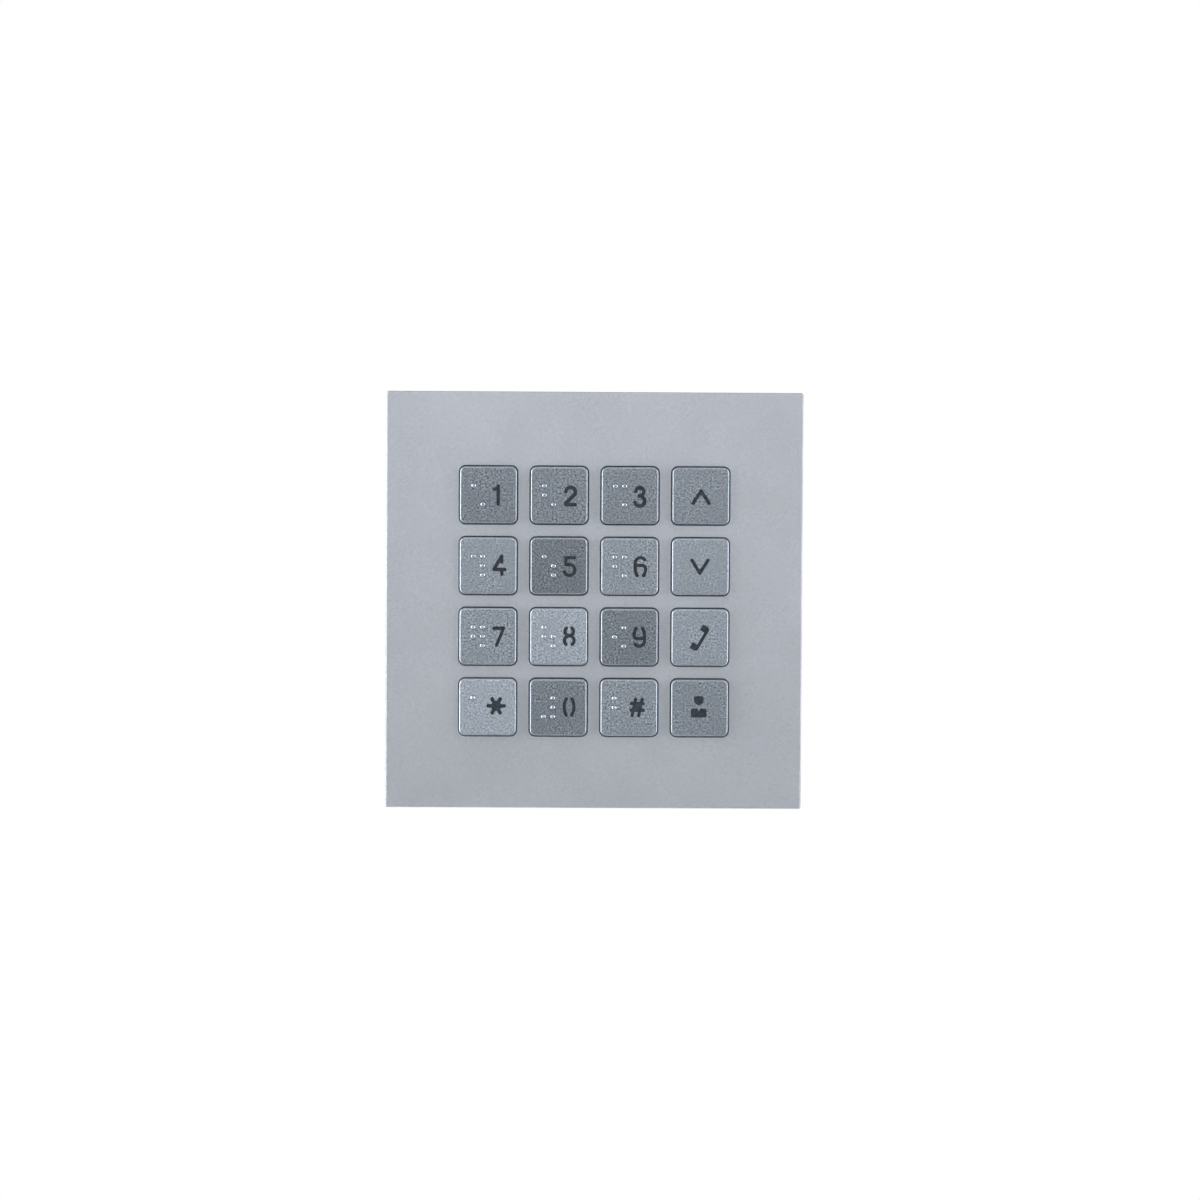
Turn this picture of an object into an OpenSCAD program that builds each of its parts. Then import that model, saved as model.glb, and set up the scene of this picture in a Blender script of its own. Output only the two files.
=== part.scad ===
// Keypad module for a door entry panel: a square metal front plate with sixteen sprung metal
// keys. Each key's legend is cut right through and filled by a smoked light guide, and raised
// braille stands beside the digits. Behind the plate lie a guide frame, a silicone key mat, a
// circuit board with its backlight and bus sockets, and a plastic rear housing.
//
// Everything is modelled on the bench with the plate facing up: +Z out of the front, +Y to the
// top of the plate, and Z = 0 on the end faces of the four fixing posts, which is where the
// module is screwed down. stand_up() then turns the module upright, facing -Y.

/* [Front plate] */
// Bare plate between the outermost key openings and the plate's edge
plate_border = 19.65; // [19.2:0.05:30]
// Thickness of the front plate
plate_t = 3; // [2:0.1:5]
// Corner radius of the front plate
plate_r = 0.6; // [0.5:0.1:6]
// Rounding of the plate's front edge
plate_edge = 0.4; // [0.2:0.1:0.5]
// Plate left standing between two key openings
bar_w = 3.25; // [2.9:0.05:8]
// Chamfer round each key opening
opening_edge = 0.15; // [0.1:0.05:0.6]
// How far the key field sits below the middle of the plate
key_field_drop = 0.3; // [0:0.1:0.5]

/* [Keys] */
// Width and height of a key cap
key_w = 15.4; // [15:0.1:20]
// Corner radius of a key cap
key_r = 1.6; // [1:0.1:2.5]
// Rounding of a key's front edge
key_edge = 0.55; // [0.2:0.05:0.8]
// Clearance between a key cap and its opening
key_gap = 0.2; // [0.2:0.05:0.4]
// How far a key stands out of the plate at rest
key_proud = 1; // [0.5:0.1:2]
// How far a key travels when it is pressed
key_travel = 0.8; // [0.4:0.05:1.2]
// Thickness of the key cap's face
key_face_t = 1.2; // [0.8:0.1:2]
// Thickness of the key cap's side walls
key_wall = 1.3; // [1:0.1:2]
// Height of the flange that keeps a key behind the plate
flange_t = 1.2; // [0.8:0.1:2]
// How far the flange reaches past the key opening's edge
flange_lip = 0.6; // [0.4:0.05:0.8]

/* [Legends] */
// Width of a digit's strokes
stroke_w = 0.9; // [0.5:0.05:0.9]
// Distance from the key's middle to a digit's middle, to the right
digit_x = 3; // [2:0.1:4]
// Distance from the key's middle to the star's and hash sign's middle, to the right
sign_x = 2.3; // [2:0.1:4]
// Distance from the key's middle down to a digit's middle
digit_drop = 0.18; // [0:0.02:1]
// How far the light guide's legend lies below the key's face
legend_recess = 0.22; // [0.05:0.01:0.6]
// Distance between two braille dots
braille_pitch = 2.5; // [2.3:0.05:2.7]
// Distance from the key's middle to the middle of the braille cell, to the left
braille_x = 2.7; // [2:0.1:3.5]
// Width of a braille dot
dot_w = 1.5; // [1.2:0.05:1.7]
// Height of a braille dot
dot_h = 0.5; // [0.3:0.05:0.6]

/* [Fixing posts] */
// Length of the fixing posts behind the plate
post_h = 10; // [8:0.5:20]
// Radius of a fixing post
post_r = 3.7; // [3.2:0.1:4]
// Distance from the plate's edge to a post's middle
post_inset = 7.7; // [7.5:0.1:8]
// Radius of the M3 hole in a post
post_thread_r = 1.5; // [1.25:0.05:1.7]
// Depth of the M3 hole in a post
post_thread_depth = 8; // [5:0.5:9]

/* [Inner layers] */
// Room left for the flange under a fully pressed key
guide_reserve = 1.35; // [0.8:0.05:3]
// Thickness of the silicone mat's sheet
mat_t = 1; // [0.8:0.1:2]
// Thickness of the circuit board
board_t = 1.6; // [1:0.1:2.4]
// Rim of the inner layers outside the boss holes
layer_rim = 0.8; // [0.5:0.1:1]

/* [Rear housing] */
// Room between the bus sockets and the housing's floor
socket_room = 1; // [0.5:0.1:15]
// Thickness of the housing's walls
housing_wall = 2.2; // [1.6:0.1:2.4]
// Thickness of the housing's floor
floor_t = 2; // [1.6:0.1:3]
// Corner radius of the housing
housing_r = 5; // [4.5:0.5:6]
// Rounding of the housing's rear edge
housing_edge = 1; // [0.5:0.1:2]
// Thickness of the seal between housing and plate
seal_t = 1; // [0.6:0.1:1.5]

/* [Wall gasket] */
// Width of the foam gasket behind the plate's rim
gasket_w = 2.6; // [2:0.1:3]
// Thickness of the foam gasket
gasket_t = 2; // [1:0.1:4]
// Depth of the groove that holds the gasket
gasket_groove = 0.5; // [0.3:0.1:1]
// Distance from the plate's edge to the gasket
gasket_inset = 0.8; // [0.5:0.1:1]

/* [Bus sockets] */
// Width of a bus socket
jack_w = 16; // [15.5:0.1:17]
// Height of a bus socket above the board
jack_h = 13; // [12.5:0.1:13.5]
// Length of a bus socket
jack_l = 15.6; // [14:0.1:18]
// Width of the plug opening
plug_w = 11.9; // [11.8:0.05:12.2]
// Height of the plug opening
plug_h = 8; // [7.8:0.05:8.4]
// Depth of the plug opening
plug_depth = 12.5; // [11:0.1:13]

/* [Hidden] */
$fn = 48;
eps = 0.01;           // a cutter past the face it opens, a round end past its stroke
fit = 0.05;           // sliding or screw clearance
stop_gap = 0.05;      // between the flange and the plate at rest
well_gap = 0.2;       // between the flange and its well
layer_gap = 1;        // between the inner layers and the housing
boss_gap = 0.3;       // between a boss and the layers it passes
mat_shrink = 0.2;     // the mat's edge inside the guide's and the board's
screw_room = 0.2;     // round a screw's shank where it doesn't grip
head_room = 0.3;      // round a screw's head in its pocket

// Key field
KEYS = ["1", "2", "3", "up", "4", "5", "6", "down", "7", "8", "9", "call", "star", "0", "hash",
        "concierge"];
DOTS = [[1, 6], [1, 2, 6], [1, 4, 6], [], [1, 4, 5, 6], [1, 5, 6], [1, 2, 4, 6], [],
        [1, 2, 4, 5, 6], [1, 2, 5, 6], [2, 4, 6], [], [1], [3, 4, 5, 6], [1, 2], []];
columns = 4;
opening_w = key_w + 2 * key_gap;
opening_r = key_r + key_gap;
key_pitch = opening_w + bar_w;
field_w = columns * opening_w + (columns - 1) * bar_w;
plate_w = field_w + 2 * plate_border;
function key_spot(i) = [(i % columns - (columns - 1) / 2) * key_pitch,
                        ((columns - 1) / 2 - floor(i / columns)) * key_pitch - key_field_drop];

// Levels, upward from the fixing posts' end faces
plate_back = post_h;
plate_front = plate_back + plate_t;
key_front = plate_front + key_proud;
key_inside = key_front - key_face_t;
legend_front = key_front - legend_recess;
flange_top = plate_back - stop_gap;
flange_foot = flange_top - flange_t;
mat_top = flange_foot - key_travel - guide_reserve;
board_top = mat_top - mat_t;
board_foot = board_top - board_t;
floor_top = board_foot - jack_h - socket_room;
housing_foot = floor_top - floor_t;
rim_top = plate_back - seal_t;

// Strokes of the digits that stand bolder than the others
bold_w = stroke_w + 0.07;

// Flange, wells and inner layers
flange_w = opening_w + 2 * flange_lip;
flange_r = opening_r + flange_lip / 2;
well_w = flange_w + 2 * well_gap;
well_r = flange_r + well_gap;
cavity_w = key_w - 2 * key_wall;
cavity_r = 0.6;

// Bosses and screws: M2.5 holds the board, M3 holds the housing
boss_r = 2;
boss_wall = 0.5;      // guide left between a well and a boss hole
board_screw_r = 1.25;
board_screw_l = 6;
board_head_r = 2.25;
board_head_h = 1.5;
board_thread_l = board_screw_l - board_t + 0.3;
boss_line = field_w / 2 + key_field_drop + flange_lip + well_gap + boss_wall + boss_gap + boss_r;
layer_w = 2 * (boss_line + boss_r + boss_gap + layer_rim);
layer_r = 1.5;
housing_boss_r = 3;
housing_boss_foot = board_foot - 0.5;
housing_screw_r = 1.5;
housing_head_r = 2.8;
housing_head_h = 2;
head_pocket = 2.5;
housing_thread_l = 5.5;
housing_screw_l = housing_boss_foot - housing_foot - head_pocket + housing_thread_l - 0.5;
column_r = 4;
corner_line = layer_w / 2 - 2.5;
boss_spots = [for (s = [-1, 1], t = [-1, 1]) each [[s * boss_line, t * key_pitch],
                                                    [t * key_pitch, s * boss_line]]];
corner_spots = [for (s = [-1, 1], t = [-1, 1]) [s, t] * corner_line];

// Housing
housing_in = layer_w + 2 * layer_gap;
housing_w = housing_in + 2 * housing_wall;

// Silicone mat and contacts
dome_foot_r = 5;
dome_neck_r = 3.4;
dome_boss_r = 3.2;
dome_neck_h = 1.5;
hollow_foot_r = 4.2;
hollow_top_r = 3;
pad_r = 2.6;
pad_t = 0.1;
pad_split = 0.4;
pill_r = 2.2;
pill_t = 0.4;
pill_foot = board_top + pad_t + key_travel;
led_size = [0.8, 1.6, 0.6];
led_line = 6;
led_room = 0.4;

// Components on the board: where they stand, seen from the front, and how big they are
chip_spot = [-8, -6];
chip_size = [10, 10, 1.4];
transceiver_spot = [16, -8];
transceiver_size = [4, 5, 1.5];
lead_w = 0.3;
lead_t = 0.2;
lead_rise = 0.55;
lead_reach = 1;
regulator_spot = [26, 8];
regulator_size = [6.6, 6.1, 2.3];
regulator_tab = [5.4, 1.4, 0.5];
regulator_leg = [0.8, 2.4, 0.5];
inductor_spot = [27, -6];
inductor_size = [7.3, 7.3, 4.5];
capacitor_spots = [[26, -18], [26, -28]];
capacitor_r = 4;
capacitor_h = 10;
capacitor_foot = [8.3, 8.3, 1];
crystal_spot = [-8, -18];
crystal_span = 6.6;
crystal_r = 2.4;
crystal_h = 3.6;
buzzer_spot = [-26, 10];
buzzer_r = 6;
buzzer_h = 8.5;
diode_spot = [13, 30];
diode_size = [4.6, 3.6, 2.3];
resistor_spot = [-18, 4];
resistor_pitch = [2.6, 4];
resistor_size = [0.8, 1.6, 0.5];

// Bus sockets
jack_face = housing_in / 2 - 0.3;
window_room = 0.5;    // round a socket in the housing's window
plug_mid = board_foot - 6;
latch_w = 6.2;
latch_h = 2;
pin_count = 8;
pin_pitch = 1.02;
pin_w = 0.35;
pin_l = 9;
pin_slope = 6;

// Label, and the marks cut into the housing's back
label_w = 44;
label_h = 28;
label_t = 0.2;
mark_depth = 0.3;
mark_w = 0.8;
mark_gap = 1.2;       // from the label's edge to the groove round it
arrow_w = 5;
arrow_line = housing_w / 2 - 8;

// Colours
metal = [0.68, 0.71, 0.75];
key_metal = [0.56, 0.59, 0.63];
smoke = [0.16, 0.18, 0.21];
black = [0.09, 0.09, 0.1];
white = [0.9, 0.9, 0.87];
gold = [0.83, 0.68, 0.35];
steel = [0.75, 0.76, 0.78];

// ---- Placing ----

module stand_up() { rotate([90, 0, 0]) children(); }

module at_keys() {
    for (i = [0 : len(KEYS) - 1]) translate(key_spot(i)) children();
}

module at_spots(spots) {
    for (p = spots) translate(p) children();
}

module at_posts() {
    q = plate_w / 2 - post_inset;
    at_spots([for (s = [-1, 1], t = [-1, 1]) [s, t] * q]) children();
}

// ---- Shapes ----

module rounded_square(w, r) {
    square([w - 2 * r, w], center = true);
    square([w, w - 2 * r], center = true);
    for (s = [-1, 1], t = [-1, 1]) translate([s, t] * (w / 2 - r)) circle(r);
}

module rounded_slab(w, r, z0, z1) {
    translate([0, 0, z0]) linear_extrude(z1 - z0) rounded_square(w, r);
}

module square_ring(w, r, wall, z0, z1) {
    translate([0, 0, z0]) linear_extrude(z1 - z0) difference() {
        rounded_square(w, r);
        rounded_square(w - 2 * wall, max(r - wall, 0.3));
    }
}

// Half of an upright section from the axis out to x = w, with its top outer corner rounded by e
module edge_section(w, z0, z1, e) {
    translate([0, z0]) square([w, z1 - z0 - e]);
    translate([0, z0]) square([w - e, z1 - z0]);
    translate([w - e, z1 - e]) intersection() {
        circle(e);
        square(e);
    }
}

// Square block with rounded corners whose top edge is rounded too
module soft_block(w, r, z0, z1, e) {
    for (turn = [0, 90]) rotate([90, 0, turn]) linear_extrude(w - 2 * r, center = true) {
        edge_section(w / 2, z0, z1, e);
        mirror([1, 0]) edge_section(w / 2, z0, z1, e);
    }
    for (q = [0 : 3]) rotate(90 * q) translate([w / 2 - r, w / 2 - r, 0])
        rotate_extrude(angle = 90) edge_section(r, z0, z1, e);
}

// Half of a cutter's section: straight up to a chamfer e at z1, then on past it
module flare_section(w, z0, z1, e) {
    polygon([[0, z0], [w, z0], [w, z1 - e], [w + e + eps, z1 + eps], [0, z1 + eps]]);
}

// Cutter for a square hole with rounded corners and a chamfered mouth
module square_cutter(w, r, z0, z1, e) {
    for (turn = [0, 90]) rotate([90, 0, turn]) linear_extrude(w - 2 * r, center = true) {
        flare_section(w / 2, z0, z1, e);
        mirror([1, 0]) flare_section(w / 2, z0, z1, e);
    }
    for (q = [0 : 3]) rotate(90 * q) translate([w / 2 - r, w / 2 - r, 0])
        rotate_extrude(angle = 90) flare_section(r, z0, z1, e);
}

// Outline shared by the guide, the mat and the board, bitten away round the corner bosses
module layer_outline(shrink) {
    bite = housing_boss_r + boss_gap + shrink;
    difference() {
        rounded_square(layer_w - 2 * shrink, layer_r);
        for (q = [0 : 3]) rotate(90 * q) translate([corner_line, corner_line]) {
            circle(bite);
            translate([-bite, 0]) square(2 * bite);
            translate([0, -bite]) square(2 * bite);
        }
    }
}

module layer(z0, z1, shrink, hole_r) {
    translate([0, 0, z0]) linear_extrude(z1 - z0) difference() {
        layer_outline(shrink);
        at_spots(boss_spots) circle(hole_r);
    }
}

module pan_screw(r, l, head_r, head_h) {
    slot_l = 1.2 * head_r;
    slot_w = 0.4 * head_r;
    slot_depth = 0.45 * head_r;
    cylinder(r = r - fit, h = l);
    difference() {
        translate([0, 0, -head_h]) cylinder(r = head_r, h = head_h);
        for (turn = [0, 90]) rotate(turn) translate([0, 0, -head_h])
            cube([slot_l, slot_w, 2 * slot_depth], center = true);
    }
}

// ---- Legends: strokes with round ends, arcs and plain outlines ----

module stroke(a, b, w = stroke_w) {
    d = b - a;
    translate(a) rotate(atan2(d.y, d.x)) {
        translate([0, -w / 2]) square([norm(d), w]);
        for (x = [0, norm(d)]) translate([x, 0]) circle(w / 2 + eps);
    }
}

module path(points, w = stroke_w) {
    for (i = [1 : len(points) - 1]) stroke(points[i - 1], points[i], w);
}

module sector(r, a0, a1) {
    steps = ceil((a1 - a0) / 60);
    polygon([[0, 0], for (i = [0 : steps]) let (a = a0 + (a1 - a0) * i / steps)
        1.3 * r * [cos(a), sin(a)]]);
}

module arc(c, r, a0, a1, w = stroke_w) {
    translate(c) {
        intersection() {
            difference() {
                circle(r + w / 2);
                circle(r - w / 2);
            }
            sector(r + w, a0, a1);
        }
        for (a = [a0, a1]) translate(r * [cos(a), sin(a)]) circle(w / 2 + eps);
    }
}

module digit_1() {
    stroke([-0.36, -2.35], [-0.36, 2.5], 0.88);
    polygon([[-1.95, 1.42], [-1.95, 1.86], [-0.95, 2.2], [-0.6, 2.75], [-0.2, 2.8], [-0.2, 1.15],
             [-0.7, 1.15]]);
}

module digit_2() {
    arc([0.05, 1.05], 1.28, -35, 176, bold_w);
    path([[1.1, 0.32], [-1.24, -1.95], [-1.24, -2.36], [1.28, -2.36]], bold_w);
}

module digit_3() {
    arc([-0.4, 1.25], 1.08, -60, 176, bold_w);
    arc([-0.4, -1.33], 1.32, -165, 65, bold_w);
    stroke([-0.55, 0.08], [0.14, 0.08], bold_w);
}

module digit_4() {
    stroke([0.66, 2.7], [0.66, 1.17]);
    stroke([0.62, 2.7], [-1.38, -0.66], bold_w);
    stroke([-1.36, -0.83], [1.45, -0.83], bold_w);
    stroke([0.7, -0.83], [0.7, -2.12]);
    polygon([[0.5, 2.7], [0.9, 2.7], [0.9, 0.9], [-0.1, 0.9], [-0.4, 1]]);
}

module digit_5() {
    path([[1.15, 2.44], [-1.12, 2.44], [-1.12, 0.58], [-0.16, 0.58]]);
    arc([-0.16, -0.88], 1.46, -160, 90);
}

module digit_6() {
    arc([-0.1, 1.15], 1.4, 38, 180);
    stroke([-1.5, 1.15], [-1.5, -0.4]);
    arc([2.17, -0.4], 3.67, 180, 211);
    stroke([-1.45, 0.45], [0.45, 0.45]);
    arc([0.45, -0.4], 0.85, 0, 90);
    arc([-2.26, -0.4], 3.56, -32, 0);
}

module digit_7() {
    stroke([-1.32, 2.4], [1.2, 2.4], bold_w);
    stroke([1.22, 2.3], [-0.72, -2.25], 0.82);
}

module digit_8() {
    arc([-0.15, 1.62], 1.14, 130, 410);
    arc([-0.13, -0.86], 1.3, -52, 228);
}

module digit_9() { translate([-0.28, 0.17]) rotate(180) translate([0.13, -0.1]) digit_6(); }

module digit_0() {
    for (side = [-1, 1]) translate([-0.07 + side * 1.32, 0.28]) mirror([(side + 1) / 2, 0])
        arc([4.49, 0], 4.49, 150.5, 209.5, 0.84);
}

module sign_star() {
    reach = 2.14;
    translate([0.02, 0.5]) {
        circle(1.4);
        for (a = [0, 60, 120]) rotate(a) stroke([-reach, 0], [reach, 0], 1);
    }
}

module sign_hash() {
    for (x = [-1.42, 0.37]) stroke([x, -1.95], [x + 0.92, 2.5], 0.86);
    for (y = [1.32, -0.48]) stroke([-1.62, y], [1.45, y], 1);
    polygon([[-0.75, 1.3], [0.98, 1.3], [0.65, -0.5], [-1.1, -0.5]]);
}

// An arrowhead with its tip at the origin, whose inner corner is filled to a short flat
module arrowhead(w, h) {
    flat = 0.2;
    lean = atan2(w / 2, h);
    flat_y = -stroke_w / 2 / sin(lean) - flat / tan(lean);
    path([[-w / 2, -h], [0, 0], [w / 2, -h]]);
    polygon([[0, 0], [-2 * flat, flat_y], [2 * flat, flat_y]]);
}

module sign_up() { translate([0.08, 1.33]) arrowhead(4.26, 3.28); }

module sign_down() { translate([-0.14, -1.72]) mirror([0, 1]) arrowhead(4.32, 3.46); }

// A telephone handset, drawn upright with its back to the right, then leant over
module sign_call() {
    back = 1.43;
    grip_w = 0.85;
    round_r = 0.9;
    translate([-0.27, 0]) rotate(-30) {
        translate([back - grip_w, -2.7]) square([grip_w, 5.4]);
        for (end = [[0, 1.85], [1, 1.95]]) mirror([0, end[0]]) translate([0, end[1]]) {
            translate([back - round_r, 0.85]) circle(round_r);
            translate([back - round_r, 0]) square([round_r, 0.85]);
            translate([-0.8, 0.15]) square([back - round_r + 0.8, 1.45]);
            translate([-0.65, 0]) square([back - round_r + 0.65, 1.75]);
            for (y = [0.15, 1.6]) translate([-0.65, y]) circle(0.15);
        }
    }
}

// A concierge: a head under a cap, above a jacket with an open collar
module sign_concierge() {
    body_x = 1.53;
    body_y = 0.63;
    body_r = 0.6;
    translate([-0.2, 0]) {
        translate([0, 2.04]) circle(1.24);
        translate([0, 2.6]) square([1.9, 1.12], center = true);
        for (x = [-0.85, 0.85]) translate([x, 2.66]) circle(0.48);
        translate([0, 1.86]) circle(0.96);
        polygon([[-1.3, 2.5], [-0.94, 1.5], [0.94, 1.5], [1.3, 2.5]]);
        translate([0, -1.34]) difference() {
            union() {
                square([2 * body_x, 2 * (body_y + body_r)], center = true);
                square([2 * (body_x + body_r), 2 * body_y], center = true);
                for (x = [-body_x, body_x], y = [-body_y, body_y])
                    translate([x, y]) circle(body_r + eps);
            }
            polygon([[-0.42, 1.3], [0, 0.42], [0.42, 1.3]]);
        }
    }
}

module legend(i) {
    k = KEYS[i];
    if (k == "up") sign_up();
    if (k == "down") sign_down();
    if (k == "call") sign_call();
    if (k == "concierge") sign_concierge();
    translate([sign_x, -digit_drop]) {
        if (k == "star") sign_star();
        if (k == "hash") sign_hash();
    }
    translate([digit_x, -digit_drop]) {
        if (k == "0") digit_0();
        if (k == "1") digit_1();
        if (k == "2") digit_2();
        if (k == "3") digit_3();
        if (k == "4") digit_4();
        if (k == "5") digit_5();
        if (k == "6") digit_6();
        if (k == "7") digit_7();
        if (k == "8") digit_8();
        if (k == "9") digit_9();
    }
}

// Braille dot n of a cell: 1 to 3 run down the left column, 4 to 6 down the right
function dot_spot(n) = [-braille_x + (n > 3 ? 0.5 : -0.5) * braille_pitch,
                        (1 - (n - 1) % 3) * braille_pitch];

module braille_dot() {
    r = (dot_w * dot_w / 4 + dot_h * dot_h) / (2 * dot_h);
    intersection() {
        translate([0, 0, key_front + dot_h - r]) sphere(r);
        translate([0, 0, key_front - dot_h / 2]) cylinder(r = dot_w, h = 2 * dot_h);
    }
}

// ---- Front plate and keys ----

module front_plate() {
    sink = plate_t / 2;
    color(metal) stand_up() difference() {
        union() {
            soft_block(plate_w, plate_r, plate_back, plate_front, plate_edge);
            at_posts() cylinder(r = post_r, h = plate_back + sink);
            at_spots(boss_spots) translate([0, 0, board_top])
                cylinder(r = boss_r, h = plate_back + sink - board_top);
            at_spots(corner_spots) translate([0, 0, housing_boss_foot])
                cylinder(r = housing_boss_r, h = plate_back + sink - housing_boss_foot);
        }
        at_keys() square_cutter(opening_w, opening_r, plate_back - 1, plate_front, opening_edge);
        at_posts() translate([0, 0, -eps]) cylinder(r = post_thread_r, h = post_thread_depth + eps);
        at_spots(boss_spots) translate([0, 0, board_top - eps])
            cylinder(r = board_screw_r, h = board_thread_l + eps);
        at_spots(corner_spots) translate([0, 0, housing_boss_foot - eps])
            cylinder(r = housing_screw_r, h = housing_thread_l + eps);
        square_ring(plate_w - 2 * gasket_inset, 1, gasket_w, plate_back - eps,
                    plate_back + gasket_groove);
    }
}

module key_cap(i) {
    color(key_metal) stand_up() translate(key_spot(i)) difference() {
        union() {
            soft_block(key_w, key_r, flange_top - eps, key_front, key_edge);
            rounded_slab(flange_w, flange_r, flange_foot, flange_top);
            for (n = DOTS[i]) translate(dot_spot(n)) braille_dot();
        }
        rounded_slab(cavity_w, cavity_r, flange_foot - 1, key_inside);
        translate([0, 0, key_inside - 1]) linear_extrude(key_face_t + 2) legend(i);
    }
}

module light_guide(i) {
    color(smoke) stand_up() translate(key_spot(i)) {
        rounded_slab(cavity_w, cavity_r, flange_foot, key_inside);
        translate([0, 0, key_inside - eps]) linear_extrude(legend_front - key_inside + eps)
            legend(i);
    }
}

// ---- Layers behind the plate ----

module key_guide() {
    color(black) stand_up() difference() {
        layer(mat_top, plate_back, 0, boss_r + boss_gap);
        at_keys() rounded_slab(well_w, well_r, mat_top - 1, plate_back + 1);
    }
}

module silicone_keymat() {
    hollow_h = pill_foot + pill_t - board_top;
    color(white) stand_up() difference() {
        union() {
            layer(board_top, mat_top, mat_shrink, boss_r + boss_gap);
            at_keys() translate([0, 0, mat_top - eps]) {
                cylinder(r1 = dome_foot_r, r2 = dome_neck_r, h = dome_neck_h);
                cylinder(r = dome_boss_r, h = flange_foot - mat_top + eps);
            }
        }
        at_keys() {
            translate([0, 0, board_top])
                cylinder(r1 = hollow_foot_r, r2 = hollow_top_r, h = hollow_h);
            for (s = [-1, 1]) translate([s * led_line, 0, board_top])
                cube([led_size.x + 2 * led_room, led_size.y + 2 * led_room, 3 * mat_t],
                     center = true);
        }
    }
}

module contact_pills() {
    color(black) stand_up() at_keys() translate([0, 0, pill_foot]) cylinder(r = pill_r, h = pill_t);
}

module contact_pads() {
    color(gold) stand_up() at_keys() translate([0, 0, board_top]) linear_extrude(pad_t)
        difference() {
            circle(pad_r);
            square([pad_split, 3 * pad_r], center = true);
        }
}

module circuit_board() {
    color([0.1, 0.32, 0.2]) stand_up()
        layer(board_foot, board_top, 0, board_screw_r + screw_room);
}

module backlight_leds() {
    color(white) stand_up() at_keys() for (s = [-1, 1])
        translate([s * led_line, 0, board_top + led_size.z / 2]) cube(led_size, center = true);
}

module board_screws() {
    color(steel) stand_up() at_spots(boss_spots) translate([0, 0, board_foot])
        pan_screw(board_screw_r, board_screw_l, board_head_r, board_head_h);
}

// ---- What the circuit board carries, hanging from its rear face ----

module on_board(spot) { translate([spot.x, spot.y, board_foot]) mirror([0, 0, 1]) children(); }

module block(size) { translate([-size.x / 2, -size.y / 2, 0]) cube(size); }

module chip_body(size) {
    notch_inset = 1.1;
    translate([0, 0, 0.1]) difference() {
        block(size);
        translate([size.x / 2 - notch_inset, size.y / 2 - notch_inset, size.z - 0.15])
            cylinder(r = 0.45, h = 1);
    }
}

// A row of gull-wing legs along a chip's upper edge
module lead_row(count, pitch) {
    half = lead_reach / 2;
    for (i = [0 : count - 1]) translate([(i - (count - 1) / 2) * pitch - lead_w / 2, 0, 0]) {
        translate([0, 0, lead_rise]) cube([lead_w, half, lead_t]);
        translate([0, half - lead_t, 0]) cube([lead_w, lead_t, lead_rise + lead_t]);
        translate([0, half - lead_t, 0]) cube([lead_w, half + lead_t, lead_t]);
    }
}

module controller_chip() {
    color(black) stand_up() on_board(chip_spot) chip_body(chip_size);
}

module bus_transceiver() {
    color(black) stand_up() on_board(transceiver_spot) chip_body(transceiver_size);
}

module chip_leads() {
    color(steel) stand_up() {
        on_board(chip_spot) for (q = [0 : 3])
            rotate(90 * q) translate([0, chip_size.y / 2, 0]) lead_row(11, 0.8);
        on_board(transceiver_spot) for (q = [1, 3])
            rotate(90 * q) translate([0, transceiver_size.x / 2, 0]) lead_row(4, 1.27);
    }
}

module voltage_regulator() {
    color(black) stand_up() on_board(regulator_spot) {
        block(regulator_size);
        translate([0, (regulator_size.y + regulator_tab.y) / 2, 0]) block(regulator_tab);
        for (s = [-1, 1]) translate([s * regulator_size.x / 3,
                                     -(regulator_size.y + regulator_leg.y) / 2, 0])
            block(regulator_leg);
    }
}

module power_inductor() {
    dish_depth = 0.3;
    color([0.2, 0.2, 0.21]) stand_up() on_board(inductor_spot) difference() {
        block(inductor_size);
        translate([0, 0, inductor_size.z - dish_depth]) cylinder(r = 2.6, h = 1);
    }
}

module smoothing_capacitors() {
    color(steel) stand_up() for (spot = capacitor_spots) on_board(spot) {
        block(capacitor_foot);
        cylinder(r = capacitor_r, h = capacitor_h);
    }
}

module crystal() {
    color(steel) stand_up() on_board(crystal_spot) linear_extrude(crystal_h) {
        square([crystal_span, 2 * crystal_r], center = true);
        for (s = [-1, 1]) translate([s * crystal_span / 2, 0]) circle(crystal_r);
    }
}

module buzzer() {
    color(black) stand_up() on_board(buzzer_spot) difference() {
        cylinder(r = buzzer_r, h = buzzer_h);
        translate([0, 0, buzzer_h - 1.5]) cylinder(r = 1, h = 2);
    }
}

module surge_diodes() {
    color(black) stand_up() for (s = [-1, 1]) on_board(s * diode_spot) block(diode_size);
}

module chip_resistors() {
    color([0.35, 0.33, 0.3]) stand_up() for (i = [0 : 7], j = [0, 1])
        on_board([resistor_spot.x + i * resistor_pitch.x, resistor_spot.y + j * resistor_pitch.y])
            block(resistor_size);
}

// ---- Bus sockets at the top and bottom edges ----

module jack() {
    translate([0, jack_face - jack_l, 0]) difference() {
        translate([-jack_w / 2, 0, board_foot - jack_h]) cube([jack_w, jack_l, jack_h]);
        translate([-plug_w / 2, jack_l - plug_depth, plug_mid - plug_h / 2])
            cube([plug_w, plug_depth + 1, plug_h]);
        translate([-latch_w / 2, jack_l - plug_depth, plug_mid - plug_h / 2 - latch_h])
            cube([latch_w, plug_depth + 1, latch_h + 1]);
    }
}

module jack_pins() {
    for (i = [0 : pin_count - 1])
        translate([(i - (pin_count - 1) / 2) * pin_pitch - pin_w / 2, jack_face - plug_depth,
                   plug_mid + plug_h / 2 - pin_w])
            rotate([-pin_slope, 0, 0]) cube([pin_w, pin_l, pin_w]);
}

module bus_in_jack() { color(black) stand_up() jack(); }

module bus_out_jack() { color(black) stand_up() rotate(180) jack(); }

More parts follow.
